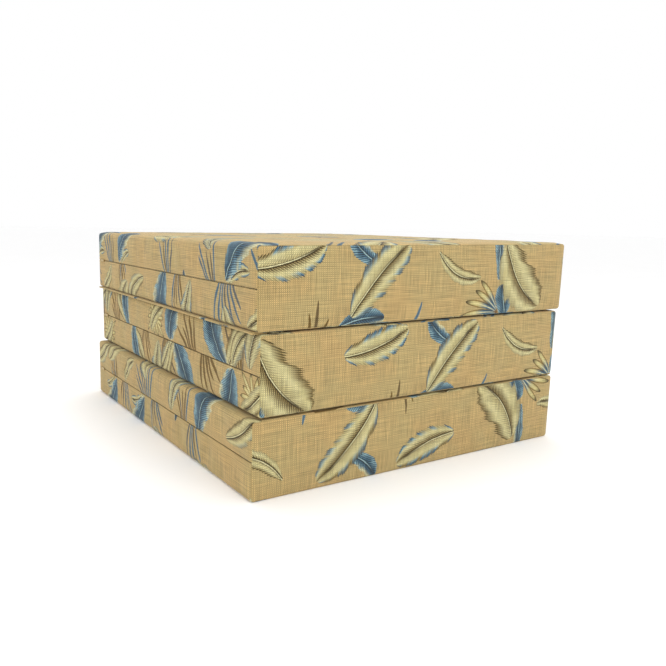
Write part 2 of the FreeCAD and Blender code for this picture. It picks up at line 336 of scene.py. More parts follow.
# Leaves: layer, row and column of the cell, then the centre in the cell across and up in millimetres, the
# angle in degrees, the length and half width in millimetres, the bend as a share of the length, and how
# blue the leaf and its edges are.
LEAVES = (
    # the row that the end bands show
    ("b", 0, 0, 0, 44, 16, 128, 27, -0.06, 0.0, 1.0),
    ("b", 0, 1, 1, 8, 45, 152, 30, 0.05, 0.0, 0.8),
    ("b", 0, 2, 3, 26, -24, 104, 14, -0.16, 0.0, 0.0),
    ("b", 0, 3, -4, 5, -51, 140, 44, -0.12, 0.0, 0.05),
    ("a", 0, 1, 38, 25, 8, 86, 16, 0.06, 1.0, 1.0),
    ("a", 0, 3, 20, 46, 107, 54, 20, 0.0, 1.0, 1.0),
    ("a", 1, 1, 40, -27, 140, 66, 15, 0.10, 1.0, 1.0),
    ("a", 1, 3, 5, -40, 93, 100, 11, 0.0, 0.95, 1.0),
    ("a", 1, 0, 26, 30, 36, 76, 14, 0.12, 0.0, 0.1),
    # the rows that the wraps show beside the zips, and across the large faces
    ("b", 1, 0, -34, -34, 42, 122, 30, 0.10, 1.0, 1.0),
    ("b", 1, 1, -38, -40, 44, 104, 24, 0.12, 1.0, 1.0),
    ("b", 1, 2, 10, 12, 24, 134, 30, -0.08, 0.0, 0.7),
    ("b", 1, 3, 4, 22, 118, 124, 26, 0.08, 0.3, 1.0),
    ("b", 2, 0, 8, 6, 124, 128, 30, -0.08, 0.0, 0.8),
    ("b", 2, 1, 26, -34, 58, 98, 20, 0.10, 0.1, 0.9),
    ("b", 2, 2, -24, -40, 62, 104, 30, 0.08, 1.0, 1.0),
    ("b", 2, 3, 20, 6, 56, 132, 34, -0.06, 0.0, 0.3),
    ("b", 3, 0, 6, -20, 66, 116, 25, 0.08, 0.1, 0.8),
    ("b", 3, 1, -46, -34, 102, 112, 20, 0.08, 1.0, 1.0),
    ("b", 3, 2, 30, -38, 70, 84, 30, 0.05, 1.0, 1.0),
    ("b", 3, 3, 38, -30, 122, 124, 32, 0.10, 1.0, 1.0),
    ("a", 2, 0, 18, 30, 44, 72, 14, 0.12, 0.0, 0.2),
    ("a", 3, 0, 26, 30, 50, 74, 16, 0.12, 0.0, 0.3),
    ("a", 3, 2, 28, 32, 40, 80, 17, 0.12, 0.0, 0.1),
    ("c", 0, 0, -16, -30, 150, 100, 24, 0.10, 1.0, 1.0),
    ("c", 0, 1, 6, -34, 20, 124, 28, -0.08, 0.0, 0.7),
    ("c", 0, 2, -30, -22, 60, 92, 20, 0.10, 0.0, 0.2),
    ("c", 0, 3, 8, -30, 138, 112, 26, 0.08, 1.0, 1.0),
    ("c", 1, 0, 46, 14, 26, 54, 10, 0.10, 0.0, 0.9),
    ("c", 1, 3, 42, 12, 18, 66, 11, 0.12, 0.0, 0.9),
    ("c", 2, 2, 14, 44, 34, 100, 20, -0.10, 0.0, 0.3),
    ("c", 3, 0, 10, 40, 128, 96, 20, 0.10, 0.0, 0.2),
    ("c", 3, 3, 18, 40, 62, 98, 24, -0.08, 0.0, 0.4),
)

# Fans of blades: row and column, the centre in the cell, the middle blade's angle, the blades' length,
# half width and spacing in degrees, how far the fan spreads to each side in degrees, and how blue the
# blades are.
FANS = (
    (0, 0, -34, -102, 70, 84, 3.8, 15, 24, 0.10),
    (0, 1, -14, -90, 56, 72, 4.2, 18, 14, 0.70),
    (0, 2, 30, -56, 154, 92, 8.5, 15, 38, 0.35),
    (1, 0, -34, -118, 84, 128, 3.4, 8.5, 24, 0.45),
    (1, 2, -50, -124, 80, 140, 3.4, 7, 20, 0.40),
    (1, 3, -30, -120, 96, 134, 3.6, 8.5, 24, 0.55),
    (2, 0, -28, -118, 88, 138, 3.8, 9.5, 32, 0.55),
    (2, 1, -20, -116, 78, 124, 3.4, 8, 20, 0.30),
    (2, 3, -48, -120, 94, 132, 3.4, 8, 20, 0.40),
    (3, 0, -14, -112, 92, 112, 3.6, 10, 30, 0.0),
    (3, 1, 42, -44, 90, 50, 6.5, 23, 180, 0.0),
    (3, 2, 50, -118, 102, 122, 5.0, 10, 24, 0.0),
    (3, 3, 40, -118, 84, 130, 3.4, 8, 24, 0.15),
)

# A table holds numbers from 0 to 1, so each kind of number is stored as a share of the range here. Centres
# and bends may be negative, so they are stored from a half.
PLACE_RANGE = 320 * MM
LENGTH_RANGE = 200 * MM
LEAF_WIDTH_RANGE = 50 * MM
BLADE_WIDTH_RANGE = 20 * MM
SPACING_RANGE = 60
SPREAD_RANGE = 180


def cell_of(graph, across, up, layer):
    """Where a point lies in its layer's cell, and the cell's place in the layer's tables, from 0 to 1."""
    across, up = (graph.sub(given, shift) for given, shift in zip((across, up), SHIFTS[layer]))
    column = graph.math("FLOOR", graph.mul(across, 1 / CELL))
    row = graph.math("FLOOR", graph.mul(up, 1 / CELL))
    x = graph.sub(across, graph.mul(graph.add(column, 0.5), CELL))
    y = graph.sub(up, graph.mul(graph.add(row, 0.5), CELL))
    row, column = (graph.math("FLOORED_MODULO", number, CELLS) for number in (row, column))
    place = graph.madd(row, CELLS, column)
    return x, y, graph.mul(graph.add(place, 0.5), 1 / CELLS**2)


def stored_motif(x, y, angle, length):
    """A motif's centre, angle and length, from millimetres and degrees, as a table holds them."""
    centre = (value * MM / PLACE_RANGE + 0.5 for value in (x, y))
    return (*centre, (angle % 360) / 360, length * MM / LENGTH_RANGE)


def table(graph, place, entries):
    """Look up a cell's four numbers, each from 0 to 1, in entries, which maps a cell's index to them."""
    node = graph.node("ShaderNodeValToRGB")
    node.color_ramp.interpolation = "CONSTANT"
    stops = node.color_ramp.elements
    for index in range(CELLS**2):
        if index == 0:
            stop = stops[0]
        elif index == 1:
            stop = stops[1]
        else:
            stop = stops.new(1.0)
        stop.position = index / CELLS**2
        stop.color = entries.get(index, (0.0, 0.0, 0.0, 0.0))
    graph.feed(node.inputs[0], place)
    split = graph.node("ShaderNodeSeparateColor")
    graph.feed(split.inputs[0], node.outputs[0])
    return (*split.outputs[:3], node.outputs[1])


def turned(graph, x, y, centre_x, centre_y, angle):
    """Coordinates along and across a motif, from its centre and angle as its table holds them."""
    x, y = (
        graph.sub(given, graph.mul(graph.sub(centre, 0.5), PLACE_RANGE))
        for given, centre in ((x, centre_x), (y, centre_y))
    )
    angle = graph.mul(angle, 2 * math.pi)
    cosine, sine = graph.math("COSINE", angle), graph.math("SINE", angle)
    along = graph.add(graph.mul(x, cosine), graph.mul(y, sine))
    across = graph.sub(graph.mul(y, cosine), graph.mul(x, sine))
    return along, across


def leaf_layer(graph, across, up, layer):
    """Colour and cover of one layer of feather-like leaves."""
    first, second = {}, {}
    for name, row, column, x, y, angle, length, width, bend, blue, edge in LEAVES:
        if name == layer:
            index = row * CELLS + column
            first[index] = stored_motif(x, y, angle, length)
            second[index] = (width * MM / LEAF_WIDTH_RANGE, bend + 0.5, blue, edge)
    x, y, place = cell_of(graph, across, up, layer)
    centre_x, centre_y, angle, length = table(graph, place, first)
    width, bend, blue, edge = table(graph, place, second)
    along, side = turned(graph, x, y, centre_x, centre_y, angle)
    length = graph.madd(length, LENGTH_RANGE, 2 * TINY)
    half = graph.mul(width, LEAF_WIDTH_RANGE)
    share = graph.math("ADD", graph.math("DIVIDE", along, length), 0.5, clamp=True)
    rest = graph.sub(1.0, share)
    arch = graph.mul(graph.mul(share, rest), 4.0)
    side = graph.sub(side, graph.mul(graph.mul(graph.sub(bend, 0.5), length), arch))
    away = graph.math("ABSOLUTE", side)
    # long barbs run out from the midrib towards the tip, and their ends make the edge uneven
    barb = graph.mul(graph.sub(along, graph.mul(away, 1.1)), 1 / BARB_PITCH)
    drift = graph.stretched_noise(along, side, (40.0, 40.0), place, 2.0, 0.6)
    wave = graph.math("SINE", graph.madd(drift, 5.0, graph.mul(barb, 2 * math.pi)))
    stripe = graph.ramp_up(wave, -0.35, 0.75)
    each_side = graph.combine(graph.mul(barb, 0.22), graph.math("SIGN", side), place)
    lobes = graph.noise(each_side, 1.0, 1.0, 0.6)
    outline = graph.mul(graph.math("POWER", share, 0.55), graph.math("POWER", rest, 0.50))
    outline = graph.mul(graph.mul(outline, 2.0), graph.madd(lobes, 0.85, 0.58))
    outline = graph.mul(graph.mul(outline, half), graph.madd(stripe, 0.08, 0.94))
    reach = graph.math("DIVIDE", away, graph.add(outline, TINY))
    cover = graph.ramp_up(reach, 1.02, 0.94)
    ends = graph.mul(graph.ramp_up(share, 0.0, 0.01), graph.ramp_up(share, 1.0, 0.99))
    cover = graph.mul(graph.mul(cover, ends), graph.ramp_up(half, 0.5 * MM, 2 * MM))
    # a warm leaf is dark beside its midrib and along its lower edge, and its barbs show best there
    lower = graph.ramp_up(side, 1 * MM, -1 * MM)
    near = graph.mul(graph.ramp_up(reach, 0.55, 0.0), graph.madd(lower, 0.65, 0.35))
    edge_shade = graph.mul(graph.ramp_up(reach, 0.50, 1.00), graph.madd(lower, -0.55, 0.95))
    depth = graph.math("MAXIMUM", near, edge_shade)
    warm = graph.mix(drift, CREAM, PALE)
    warm = graph.mix(graph.mul(depth, 0.88), warm, OLIVE)
    warm = graph.mix(graph.mul(stripe, graph.madd(depth, 0.92, 0.14)), warm, DARK_OLIVE)
    # a cool leaf is deep blue inside and pales towards its edge
    tone = graph.madd(stripe, 0.50, graph.madd(reach, -0.75, 0.72))
    tone = graph.madd(graph.sub(drift, 0.5), 1.1, tone)
    cool = graph.mix(graph.ramp_up(tone, -0.05, 0.45), PALE_BLUE, BLUE)
    cool = graph.mix(graph.ramp_up(tone, 0.35, 0.95), cool, DEEP_BLUE)
    fade = graph.mul(graph.mul(lower, graph.ramp_up(reach, 0.35, 0.95)), graph.ramp_up(drift, 0.40, 0.62))
    cool = graph.mix(graph.mul(fade, 0.85), cool, PALE)
    # a warm leaf has patches along its edge that are tinged with blue
    patches = graph.mul(graph.ramp_up(lobes, 0.46, 0.54), graph.ramp_up(reach, 0.52, 0.80))
    patches = graph.mul(patches, graph.math("MAXIMUM", lower, graph.ramp_up(edge, 0.65, 0.85)))
    body = graph.mix(blue, warm, cool)
    tinge = graph.mix(graph.ramp_up(reach, 0.62, 0.90), PALE_BLUE, BLUE)
    tinge = graph.mix(graph.mul(stripe, graph.ramp_up(reach, 0.60, 0.95)), tinge, DEEP_BLUE)
    body = graph.mix(graph.mul(graph.mul(edge, patches), graph.sub(1.0, blue)), body, tinge)
    # the midrib is a dark line with a pale one on it
    rib = graph.mul(graph.ramp_up(away, 2.7 * MM, 1.5 * MM), graph.ramp_up(share, 0.97, 0.80))
    body = graph.mix(rib, body, graph.mix(blue, DARK_OLIVE, DEEP_BLUE))
    core = graph.ramp_up(graph.math("ABSOLUTE", graph.sub(side, 0.5 * MM)), 1.1 * MM, 0.5 * MM)
    core = graph.mul(core, graph.ramp_up(share, 0.9, 0.5))
    return graph.mix(core, body, graph.mix(blue, PALE, PALE_BLUE)), cover


def fan_layer(graph, across, up):
    """Colour and cover of the layer of fans: blades from one point, or petals where they are wide."""
    first, second = {}, {}
    for row, column, x, y, angle, length, width, spacing, spread, blue in FANS:
        index = row * CELLS + column
        first[index] = stored_motif(x, y, angle, length)
        width = width * MM / BLADE_WIDTH_RANGE
        second[index] = (width, spacing / SPACING_RANGE, spread / SPREAD_RANGE, blue)
    x, y, place = cell_of(graph, across, up, "fan")
    centre_x, centre_y, angle, length = table(graph, place, first)
    width, spacing, spread, blue = table(graph, place, second)
    along, side = turned(graph, x, y, centre_x, centre_y, angle)
    radius = graph.math("SQRT", graph.add(graph.mul(along, along), graph.mul(side, side)))
    turn = graph.madd(radius, -BLADE_CURL, graph.math("ARCTAN2", side, along))
    step = graph.madd(spacing, math.radians(SPACING_RANGE), 0.01)
    # each blade is a little off its even place in the fan, and has a length of its own
    blade = graph.math("ROUND", graph.math("DIVIDE", turn, step))
    chance = graph.random(blade, place)
    off = graph.sub(turn, graph.mul(graph.add(blade, graph.mul(graph.sub(chance, 0.5), 0.35)), step))
    widest = graph.mul(spread, math.radians(SPREAD_RANGE))
    beyond = graph.sub(graph.math("ABSOLUTE", graph.mul(blade, step)), widest)
    inside = graph.ramp_up(beyond, 0.01, 0.0)
    reach = graph.mul(graph.mul(length, LENGTH_RANGE), graph.madd(chance, 0.45, 0.6))
    share = graph.math("DIVIDE", radius, graph.add(reach, 2 * TINY), clamp=True)
    aside = graph.math("ABSOLUTE", graph.mul(radius, graph.math("SINE", off)))
    shape = graph.mul(graph.math("POWER", share, 0.9), graph.math("POWER", graph.sub(1.0, share), 0.6))
    outline = graph.mul(graph.mul(shape, 2.0), graph.mul(width, BLADE_WIDTH_RANGE))
    close = graph.math("DIVIDE", aside, graph.add(outline, TINY))
    cover = graph.mul(graph.ramp_up(close, 1.05, 0.85), inside)
    cover = graph.mul(cover, graph.ramp_up(width, 0.02, 0.05))
    cover = graph.mul(cover, graph.ramp_up(share, 1.0, 0.985))
    petal = graph.ramp_up(width, 0.27, 0.30)
    cover = graph.mul(cover, graph.math("MAXIMUM", petal, graph.ramp_up(share, 0.16, 0.30)))
    # a blade is all olive or all blue
    cool = graph.ramp_up(graph.madd(graph.sub(chance, 0.5), 0.5, blue), 0.25, 0.55)
    thin = graph.mix(cool, OLIVE, BLUE)
    thin = graph.mix(graph.ramp_up(close, 0.5, 0.0), thin, graph.mix(0.5, thin, DARK_OLIVE))
    # a petal is cream with a darker edge, a pale vein, a dark tip and foot, and a blue heart in some fans
    wide = graph.mix(graph.ramp_up(close, 0.85, 0.35), OLIVE, CREAM)
    heart = graph.mul(graph.ramp_up(share, 0.66, 0.36), graph.ramp_up(blue, 0.05, 0.3))
    wide = graph.mix(heart, wide, graph.mix(graph.ramp_up(close, 0.30, 0.75), BLUE, DEEP_BLUE))
    vein = graph.mul(graph.ramp_up(close, 0.22, 0.08), graph.ramp_up(share, 0.9, 0.4))
    wide = graph.mix(vein, wide, PALE)
    wide = graph.mix(graph.ramp_up(share, 0.75, 1.0), wide, DARK_OLIVE)
    wide = graph.mix(graph.ramp_up(share, 0.16, 0.06), wide, BROWN)
    return graph.mix(petal, thin, wide), cover


def weave(graph, across, up):
    """The linen-look ground: each thread's brightness (its slub tone with painted shade in the weave's
    hollows), the weave's height, and how each thread is dyed.
    """
    warp_slub = graph.stretched_noise(across, up, (SLUB_ACROSS, WARP_SLUB_ALONG), 3.0, 2.0, 0.6)
    weft_slub = graph.stretched_noise(across, up, (WEFT_SLUB_ALONG, SLUB_ACROSS), 7.0, 2.0, 0.6)
    wave_x, wave_y = (
        graph.math("SINE", graph.madd(graph.sub(slub, 0.5), 2.0, graph.mul(place, 2 * math.pi / pitch)))
        for slub, place, pitch in ((warp_slub, across, WARP), (weft_slub, up, WEFT))
    )
    over = graph.madd(graph.mul(wave_x, wave_y), 0.5, 0.5)
    uneven = graph.madd(graph.sub(warp_slub, 0.5), 1.00, graph.mul(graph.sub(weft_slub, 0.5), 0.95))
    # painted shade: the weave is darker where its threads dip and lighter where they lie on top, following
    # the weave's height
    painted_weave_shade = graph.madd(graph.sub(over, 0.5), 0.70, graph.mul(graph.add(wave_x, wave_y), 0.12))
    light = graph.add(1.0, graph.add(uneven, painted_weave_shade))
    height = graph.madd(over, 0.7, graph.mul(wave_y, 0.3))
    dye = graph.mul(graph.add(warp_slub, weft_slub), 0.5)
    return light, height, dye


def printed_cloth():
    """Coarse linen-look cloth with a botanical print of feather leaves, blade fans and burst flowers."""
    graph = Graph("printed_linen")
    source = graph.node("ShaderNodeUVMap", uv_map=CLOTH_MAP)
    across, up, _ = graph.split(source.outputs[0])
    light, height, dye = weave(graph, across, up)
    # ink bleeds a little along the threads, so edges are never quite sharp
    wobble = graph.stretched_noise(across, up, (300.0, 300.0), detail=1.0)
    drawn_across, drawn_up = (graph.madd(graph.sub(wobble, 0.5), BLEED, place) for place in (across, up))
    blotch = graph.stretched_noise(across, up, (14.0, 14.0), 1.0, 3.0)
    tone = graph.madd(graph.sub(dye, 0.5), 1.2, blotch)
    colour = graph.mix(graph.ramp_up(tone, 0.30, 0.72), GROUND, SLUB)
    fan, cover = fan_layer(graph, drawn_across, drawn_up)
    colour = graph.mix(graph.mul(cover, 0.92), colour, fan)
    for layer in ("c", "a", "b"):
        leaf, cover = leaf_layer(graph, drawn_across, drawn_up, layer)
        colour = graph.mix(graph.mul(cover, 0.95), colour, leaf)
    # the threads' slub tone and the painted shade in the weave's hollows darken and lighten the whole
    # cloth
    colour = graph.shade(colour, light)
    normal = graph.bump(height, 0.25 * MM, strength=0.5)
    return graph.surface(colour, 0.9, normal, Sheen_Weight=0.12, Specular_IOR_Level=0.25)


def plain_cloth():
    """Ribbed cloth with no print for the zips' tapes, which have no cloth map."""
    graph = Graph("tape_cloth")
    source = graph.node("ShaderNodeTexCoord")
    x, y, z = graph.split(source.outputs["Object"])
    ribs = graph.math("SINE", graph.mul(graph.add(x, z), 2 * math.pi / (1.1 * MM)))
    cross = graph.math("SINE", graph.mul(y, 2 * math.pi / (0.9 * MM)))
    grain = graph.noise(source.outputs["Object"], 600.0, 2.0)
    # painted shade: the tape is darker in the hollows of its ribs, following their height, and a random
    # grain varies its tone
    light = graph.add(graph.madd(graph.mul(ribs, cross), 0.10, 0.85), graph.mul(grain, 0.2))
    colour = graph.shade(srgb(160, 138, 92), light)
    return graph.surface(colour, 0.85, graph.bump(graph.mul(ribs, cross), 0.15 * MM), Sheen_Weight=0.1)


def foam_material():
    """Cream foam with fine open cells."""
    graph = Graph("foam")
    source = graph.node("ShaderNodeTexCoord")
    cells = graph.node("ShaderNodeTexVoronoi")
    graph.feed(cells.inputs["Vector"], source.outputs["Object"])
    cells.inputs["Scale"].default_value = 700.0
    tone = graph.noise(source.outputs["Object"], 9.0, 3.0)
    colour = graph.mix(tone, srgb(236, 226, 184), srgb(246, 240, 210))
    colour = graph.mix(graph.ramp_up(cells.outputs[0], 0.35, 0.75), colour, srgb(214, 200, 150))
    return graph.surface(colour, 0.95, graph.bump(cells.outputs[0], 0.4 * MM))


def metal_material():
    """Lacquered zinc for the zips' sliders, pullers and stops."""
    graph = Graph("lacquered_zinc")
    source = graph.node("ShaderNodeTexCoord")
    wear = graph.noise(source.outputs["Object"], 900.0, 3.0)
    colour = graph.mix(graph.ramp_up(wear, 0.35, 0.7), srgb(168, 146, 98), srgb(192, 170, 120))
    rough = graph.madd(wear, 0.25, 0.28)
    return graph.surface(colour, rough, graph.bump(wear, 0.05 * MM, strength=0.4), Metallic=0.75)


def coil_material():
    """Moulded nylon for the zips' teeth."""
    graph = Graph("nylon_coil")
    source = graph.node("ShaderNodeTexCoord")
    grain = graph.noise(source.outputs["Object"], 1200.0, 2.0)
    colour = graph.mix(grain, srgb(150, 124, 74), srgb(182, 156, 104))
    return graph.surface(colour, 0.45, graph.bump(grain, 0.05 * MM, strength=0.3))


PRINT = printed_cloth()
TAPE = plain_cloth()
FOAM = foam_material()
METAL = metal_material()
COIL = coil_material()

# ---------------------------------------------------------------- cover shapes

# The simulation's vertex group, how firmly it holds the zip's seam, and how many frames it runs.
HELD = "held"
SEAM_HOLD = 0.6
SIMULATED_FRAMES = 20


def eased(share):
    """The share from 0 to 1 with a smooth start and end."""
    return share * share * (3 - 2 * share)


def face_levels(panel):
    """How far the cover swells out of each face of the panel's box, as grids of heights over the face."""
    low, high = panel_box(panel)
    counts = np.maximum(4, np.round((high - low) / GRID_STEP).astype(int))
    axes = [np.linspace(low[i], high[i], counts[i] + 1) for i in range(3)]
    keys, grids, faces = box_grid(counts)
    start = np.stack([axes[k][keys[:, k]] for k in range(3)], axis=-1)
    mesh = bpy.data.meshes.new(panel + "_form")
    mesh.from_pydata(start.tolist(), [], faces)
    form = new_object(panel + "_form", mesh)
    held = form.vertex_groups.new(name=HELD)
    on_edge = ((keys == 0) | (keys == counts)).sum(axis=1) > 1
    seam = (keys[:, 0] == 0) & (keys[:, 2] == round(counts[2] / 2))
    held.add(np.flatnonzero(on_edge).tolist(), 1.0, "REPLACE")
    held.add(np.flatnonzero(seam).tolist(), SEAM_HOLD, "REPLACE")
    shaped = simulate(form, len(start))
    bpy.data.objects.remove(form)
    levels = {}
    for (axis, end), grid in grids.items():
        moved = (shaped - start)[grid][..., axis] * (1 if end else -1)
        first, second = [i for i in range(3) if i != axis]
        cap = (SIDE_SWELL, FREE_SWELL, RESTING_SWELL)[axis]
        if (panel, axis, end) == ("top", 2, 1):
            # nothing lies on the top of the stack
            cap = FREE_SWELL
        heights = cap * np.tanh(np.maximum(moved, 0) / cap)
        if (panel, axis, end) == ("bottom", 2, 0):
            # the floor keeps the underside flat
            heights *= 0
        strip_side = STRIP_SIDES.get((panel, end)) if axis == 2 else None
        if strip_side is not None:
            gap = np.abs(axes[0] - (high[0] if strip_side else low[0]))
            share = np.clip((gap - STRIP_REACH[0]) / (STRIP_REACH[1] - STRIP_REACH[0]), 0, 1)
            heights *= eased(share)[:, None]
        levels[axis, end] = (axes[first], axes[second], heights)
    return levels


def simulate(form, count):
    """Blow the cover up a little with cloth simulation, and give its count points.

    Its edges are held, and the zip's seam is held in part.
    """
    cloth = form.modifiers.new("cloth", "CLOTH")
    settings = cloth.settings
    settings.quality = 6
    settings.mass = 0.3
    settings.tension_stiffness = 20.0
    settings.compression_stiffness = 8.0
    settings.shear_stiffness = 6.0
    settings.bending_stiffness = 0.6
    settings.vertex_group_mass = HELD
    settings.pin_stiffness = 2.0
    settings.shrink_min = -0.012
    settings.use_pressure = True
    settings.uniform_pressure_force = 1.2
    settings.effector_weights.gravity = 0.0
    scene = bpy.context.scene
    for step in range(SIMULATED_FRAMES):
        scene.frame_set(step + 1)
    shaped = form.evaluated_get(bpy.context.evaluated_depsgraph_get())
    found = np.zeros(count * 3)
    shaped.data.vertices.foreach_get("co", found)
    scene.frame_set(1)
    return found.reshape(-1, 3)


def sample(level, first, second):
    """Heights of one face's grid at points on it, by bilinear interpolation."""
    axis_a, axis_b, heights = level
    a = np.clip((first - axis_a[0]) / (axis_a[-1] - axis_a[0]), 0, 1) * (len(axis_a) - 1)
    b = np.clip((second - axis_b[0]) / (axis_b[-1] - axis_b[0]), 0, 1) * (len(axis_b) - 1)
    i, j = np.minimum(a.astype(int), len(axis_a) - 2), np.minimum(b.astype(int), len(axis_b) - 2)
    a, b = eased(a - i), eased(b - j)
    return (
        heights[i, j] * (1 - a) * (1 - b) + heights[i + 1, j] * a * (1 - b)
        + heights[i, j + 1] * (1 - a) * b + heights[i + 1, j + 1] * a * b
    )


def swell(levels, points, normals):
    """Points of the cover's base shape, moved out to where the cloth lies."""
    height = np.zeros(points.shape[:-1])
    for (axis, end), level in levels.items():
        first, second = [i for i in range(3) if i != axis]
        facing = np.clip(normals[..., axis] * (1 if end else -1), 0, 1) ** 2
        height += facing * sample(level, points[..., first], points[..., second])
    return points + normals * height[..., None]


def even(low, high, step):
    """Evenly spaced numbers from low to high, about step apart."""
    return np.linspace(low, high, max(2, int(round((high - low) / step)) + 1))


def arc(centre_x, centre_z, radius, start, stop, count):
    """Points on an arc in the x, z plane, each with its outward normal. The angles are in degrees."""
    rows = []
    for angle in np.radians(np.linspace(start, stop, count)):
        out_x, out_z = math.cos(angle), math.sin(angle)
        rows.append((centre_x + radius * out_x, centre_z + radius * out_z, out_x, out_z))
    return rows


def wrap_profile(low, high, side):
    """The wrap's outline from the zip's slit over the large face to the far seam.

    Gives a row of x, z and the normal's x and z for each point, and the lengths along the outline.
    """
    x0, x1 = low[0], high[0]
    middle = (low[2] + high[2]) / 2
    top = high[2] - EDGE_RADIUS
    slit = middle + ZIP_GAP / 2 + LIP_RADIUS
    seam = middle + LIP_RADIUS
    # the lip turns in at the slit, and the other edge turns in at the far seam
    rows = arc(x0 + LIP_RADIUS, slit, LIP_RADIUS, 260, 180, 5)
    rows += [(x0, z, -1.0, 0.0) for z in even(slit, top, SHORT_STEP)[1:]]
    rows += arc(x0 + EDGE_RADIUS, top, EDGE_RADIUS, 180, 90, 7)[1:]
    rows += [(x, high[2], 0.0, 1.0) for x in even(x0 + EDGE_RADIUS, x1 - EDGE_RADIUS, LONG_STEP)[1:]]
    rows += arc(x1 - EDGE_RADIUS, top, EDGE_RADIUS, 90, 0, 7)[1:]
    rows += [(x1, z, 1.0, 0.0) for z in even(top, seam, SHORT_STEP)[1:]]
    rows += arc(x1 - LIP_RADIUS, seam, LIP_RADIUS, 0, -80, 5)[1:]
    rows = np.array(rows)
    if side == "lower":
        rows[:, 1] = 2 * middle - rows[:, 1]
        rows[:, 3] *= -1
    steps = np.hypot(np.diff(rows[:, 0]), np.diff(rows[:, 1]))
    return rows, np.concatenate([[0.0], np.cumsum(steps)])


def end_stations(low, high):
    """Places along y for edges rounded towards the end bands.

    Each row gives y, how far the cloth has turned in there, and the normal's parts along y and outwards.
    """
    radius = BAND_EDGE_RADIUS
    turn = np.radians(np.linspace(WRAP_TURN, 0, 6))

    def rounded(edge, way, angles):
        rows = []
        for angle in angles:
            sine, cosine = math.sin(angle), math.cos(angle)
            rows.append((edge + way * radius * (sine - 1), radius * (1 - cosine), way * sine, cosine))
        return rows

    flat = [(y, 0.0, 0.0, 1.0) for y in even(low + radius, high - radius, LONG_STEP)[1:-1]]
    return np.array(rounded(low, -1, turn) + flat + rounded(high, 1, turn[::-1]))


def make_wrap(panel, side, levels, offset, turned_over):
    """Half of a panel's wrap, from the zip's slit round to the far seam."""
    low, high = panel_box(panel)
    profile, lengths = wrap_profile(low, high, side)
    stations = end_stations(low[1], high[1])
    x = profile[:, None, 0] - stations[None, :, 1] * profile[:, None, 2]
    z = profile[:, None, 1] - stations[None, :, 1] * profile[:, None, 3]
    y = np.broadcast_to(stations[None, :, 0], x.shape)
    points = np.stack([x, y, z], axis=-1)
    normals = np.stack(
        [
            profile[:, None, 2] * stations[None, :, 3],
            np.broadcast_to(stations[None, :, 2], x.shape),
            profile[:, None, 3] * stations[None, :, 3],
        ],
        axis=-1,
    )
    points = swell(levels, points, normals)
    across = high[1] - y
    up = np.broadcast_to(lengths[:, None], x.shape)
    if turned_over:
        across = -across
    uvs = np.stack([across + offset[0], up + offset[1]], axis=-1)
    if side == "lower":
        points, uvs = points[:, ::-1], uvs[:, ::-1]
    name = f"{panel}_{side}_wrap"
    obj = new_object(name, grid_mesh(name, points, uvs))
    thicken(obj, CLOTH)
    finish_cloth(obj, panel, f"{panel}_{side}_cloth")


def finish_cloth(obj, panel, node):
    """Give a piece of the panel's cover its cloth and its body, and hide the CAD node it stands for."""
    obj.data.materials.append(PRINT)
    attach(obj, f"{panel}_panel")
    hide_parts(node)


def band_axis(low, high, radius, step):
    """Stations along one side of a band: close together in the corners, even between them."""
    corner = radius * np.linspace(0, 1, 6)[:-1]
    return np.concatenate([low + corner, even(low + radius, high - radius, step), high - corner[::-1]])


def make_band(panel, side, levels, offset, turned_over):
    """The piece that closes one end of the cover. Its edge turns in to the seam with the wrap."""
    low, high = panel_box(panel)
    radius = EDGE_RADIUS
    xs = band_axis(low[0], high[0], radius, LONG_STEP)
    zs = band_axis(low[2], high[2], radius, SHORT_STEP)
    x, z = np.meshgrid(xs, zs, indexing="ij")
    # squeeze the square corners of the grid into round ones
    mid_x, _, mid_z = (low + high) / 2
    half_x, _, half_z = (high - low) / 2
    sign_x, sign_z = np.sign(x - mid_x), np.sign(z - mid_z)
    a = np.clip((np.abs(x - mid_x) - (half_x - radius)) / radius, 0, 1)
    b = np.clip((np.abs(z - mid_z) - (half_z - radius)) / radius, 0, 1)
    in_corner = (a > 0) & (b > 0)
    round_a, round_b = a * np.sqrt(1 - b * b / 2), b * np.sqrt(1 - a * a / 2)
    x = np.where(in_corner, mid_x + sign_x * (half_x - radius + radius * round_a), x)
    z = np.where(in_corner, mid_z + sign_z * (half_z - radius + radius * round_b), z)
    # how near each point is to the outline, measured inwards
    gap_x = half_x - np.abs(x - mid_x)
    gap_z = half_z - np.abs(z - mid_z)
    rounded = radius - np.hypot(np.maximum(0, radius - gap_x), np.maximum(0, radius - gap_z))
    gap = np.where(in_corner, rounded, np.minimum(gap_x, gap_z))
    # the outermost ring moves in and back, to where the wrap's rounded edge meets the band's
    turned_in = 1 - np.clip(gap / BAND_EDGE_RADIUS, 0, 1)
    back = BAND_EDGE_RADIUS * (1 - np.cos(turned_in * np.radians(BAND_TURN)))
    inward, corner = (turned_in * BAND_EDGE_RADIUS * share for share in (BAND_INSET, BAND_CORNER_INSET))
    way_x, way_z = sign_x * (gap_x < gap_z), sign_z * (gap_x >= gap_z)
    x = x - np.where(in_corner, sign_x * a * corner, way_x * inward)
    z = z - np.where(in_corner, sign_z * b * corner, way_z * inward)
    face = -1.0 if side == "front" else 1.0
    plane = low[1] if side == "front" else high[1]
    y = plane - face * back
    points = np.stack([x, y, z], axis=-1)
    normals = np.zeros_like(points)
    normals[..., 1] = face
    points = swell(levels, points, normals)
    across = (x - low[0]) if side == "front" else (high[0] - x)
    up = z - low[2]
    if turned_over:
        across, up = -across, -up
    uvs = np.stack([across + offset[0], up + offset[1]], axis=-1)
    if side == "rear":
        points, uvs = points[::-1], uvs[::-1]
    name = f"{panel}_{side}_end"
    obj = new_object(name, grid_mesh(name, points, uvs))
    thicken(obj, CLOTH)
    finish_cloth(obj, panel, f"{panel}_{side}_band")


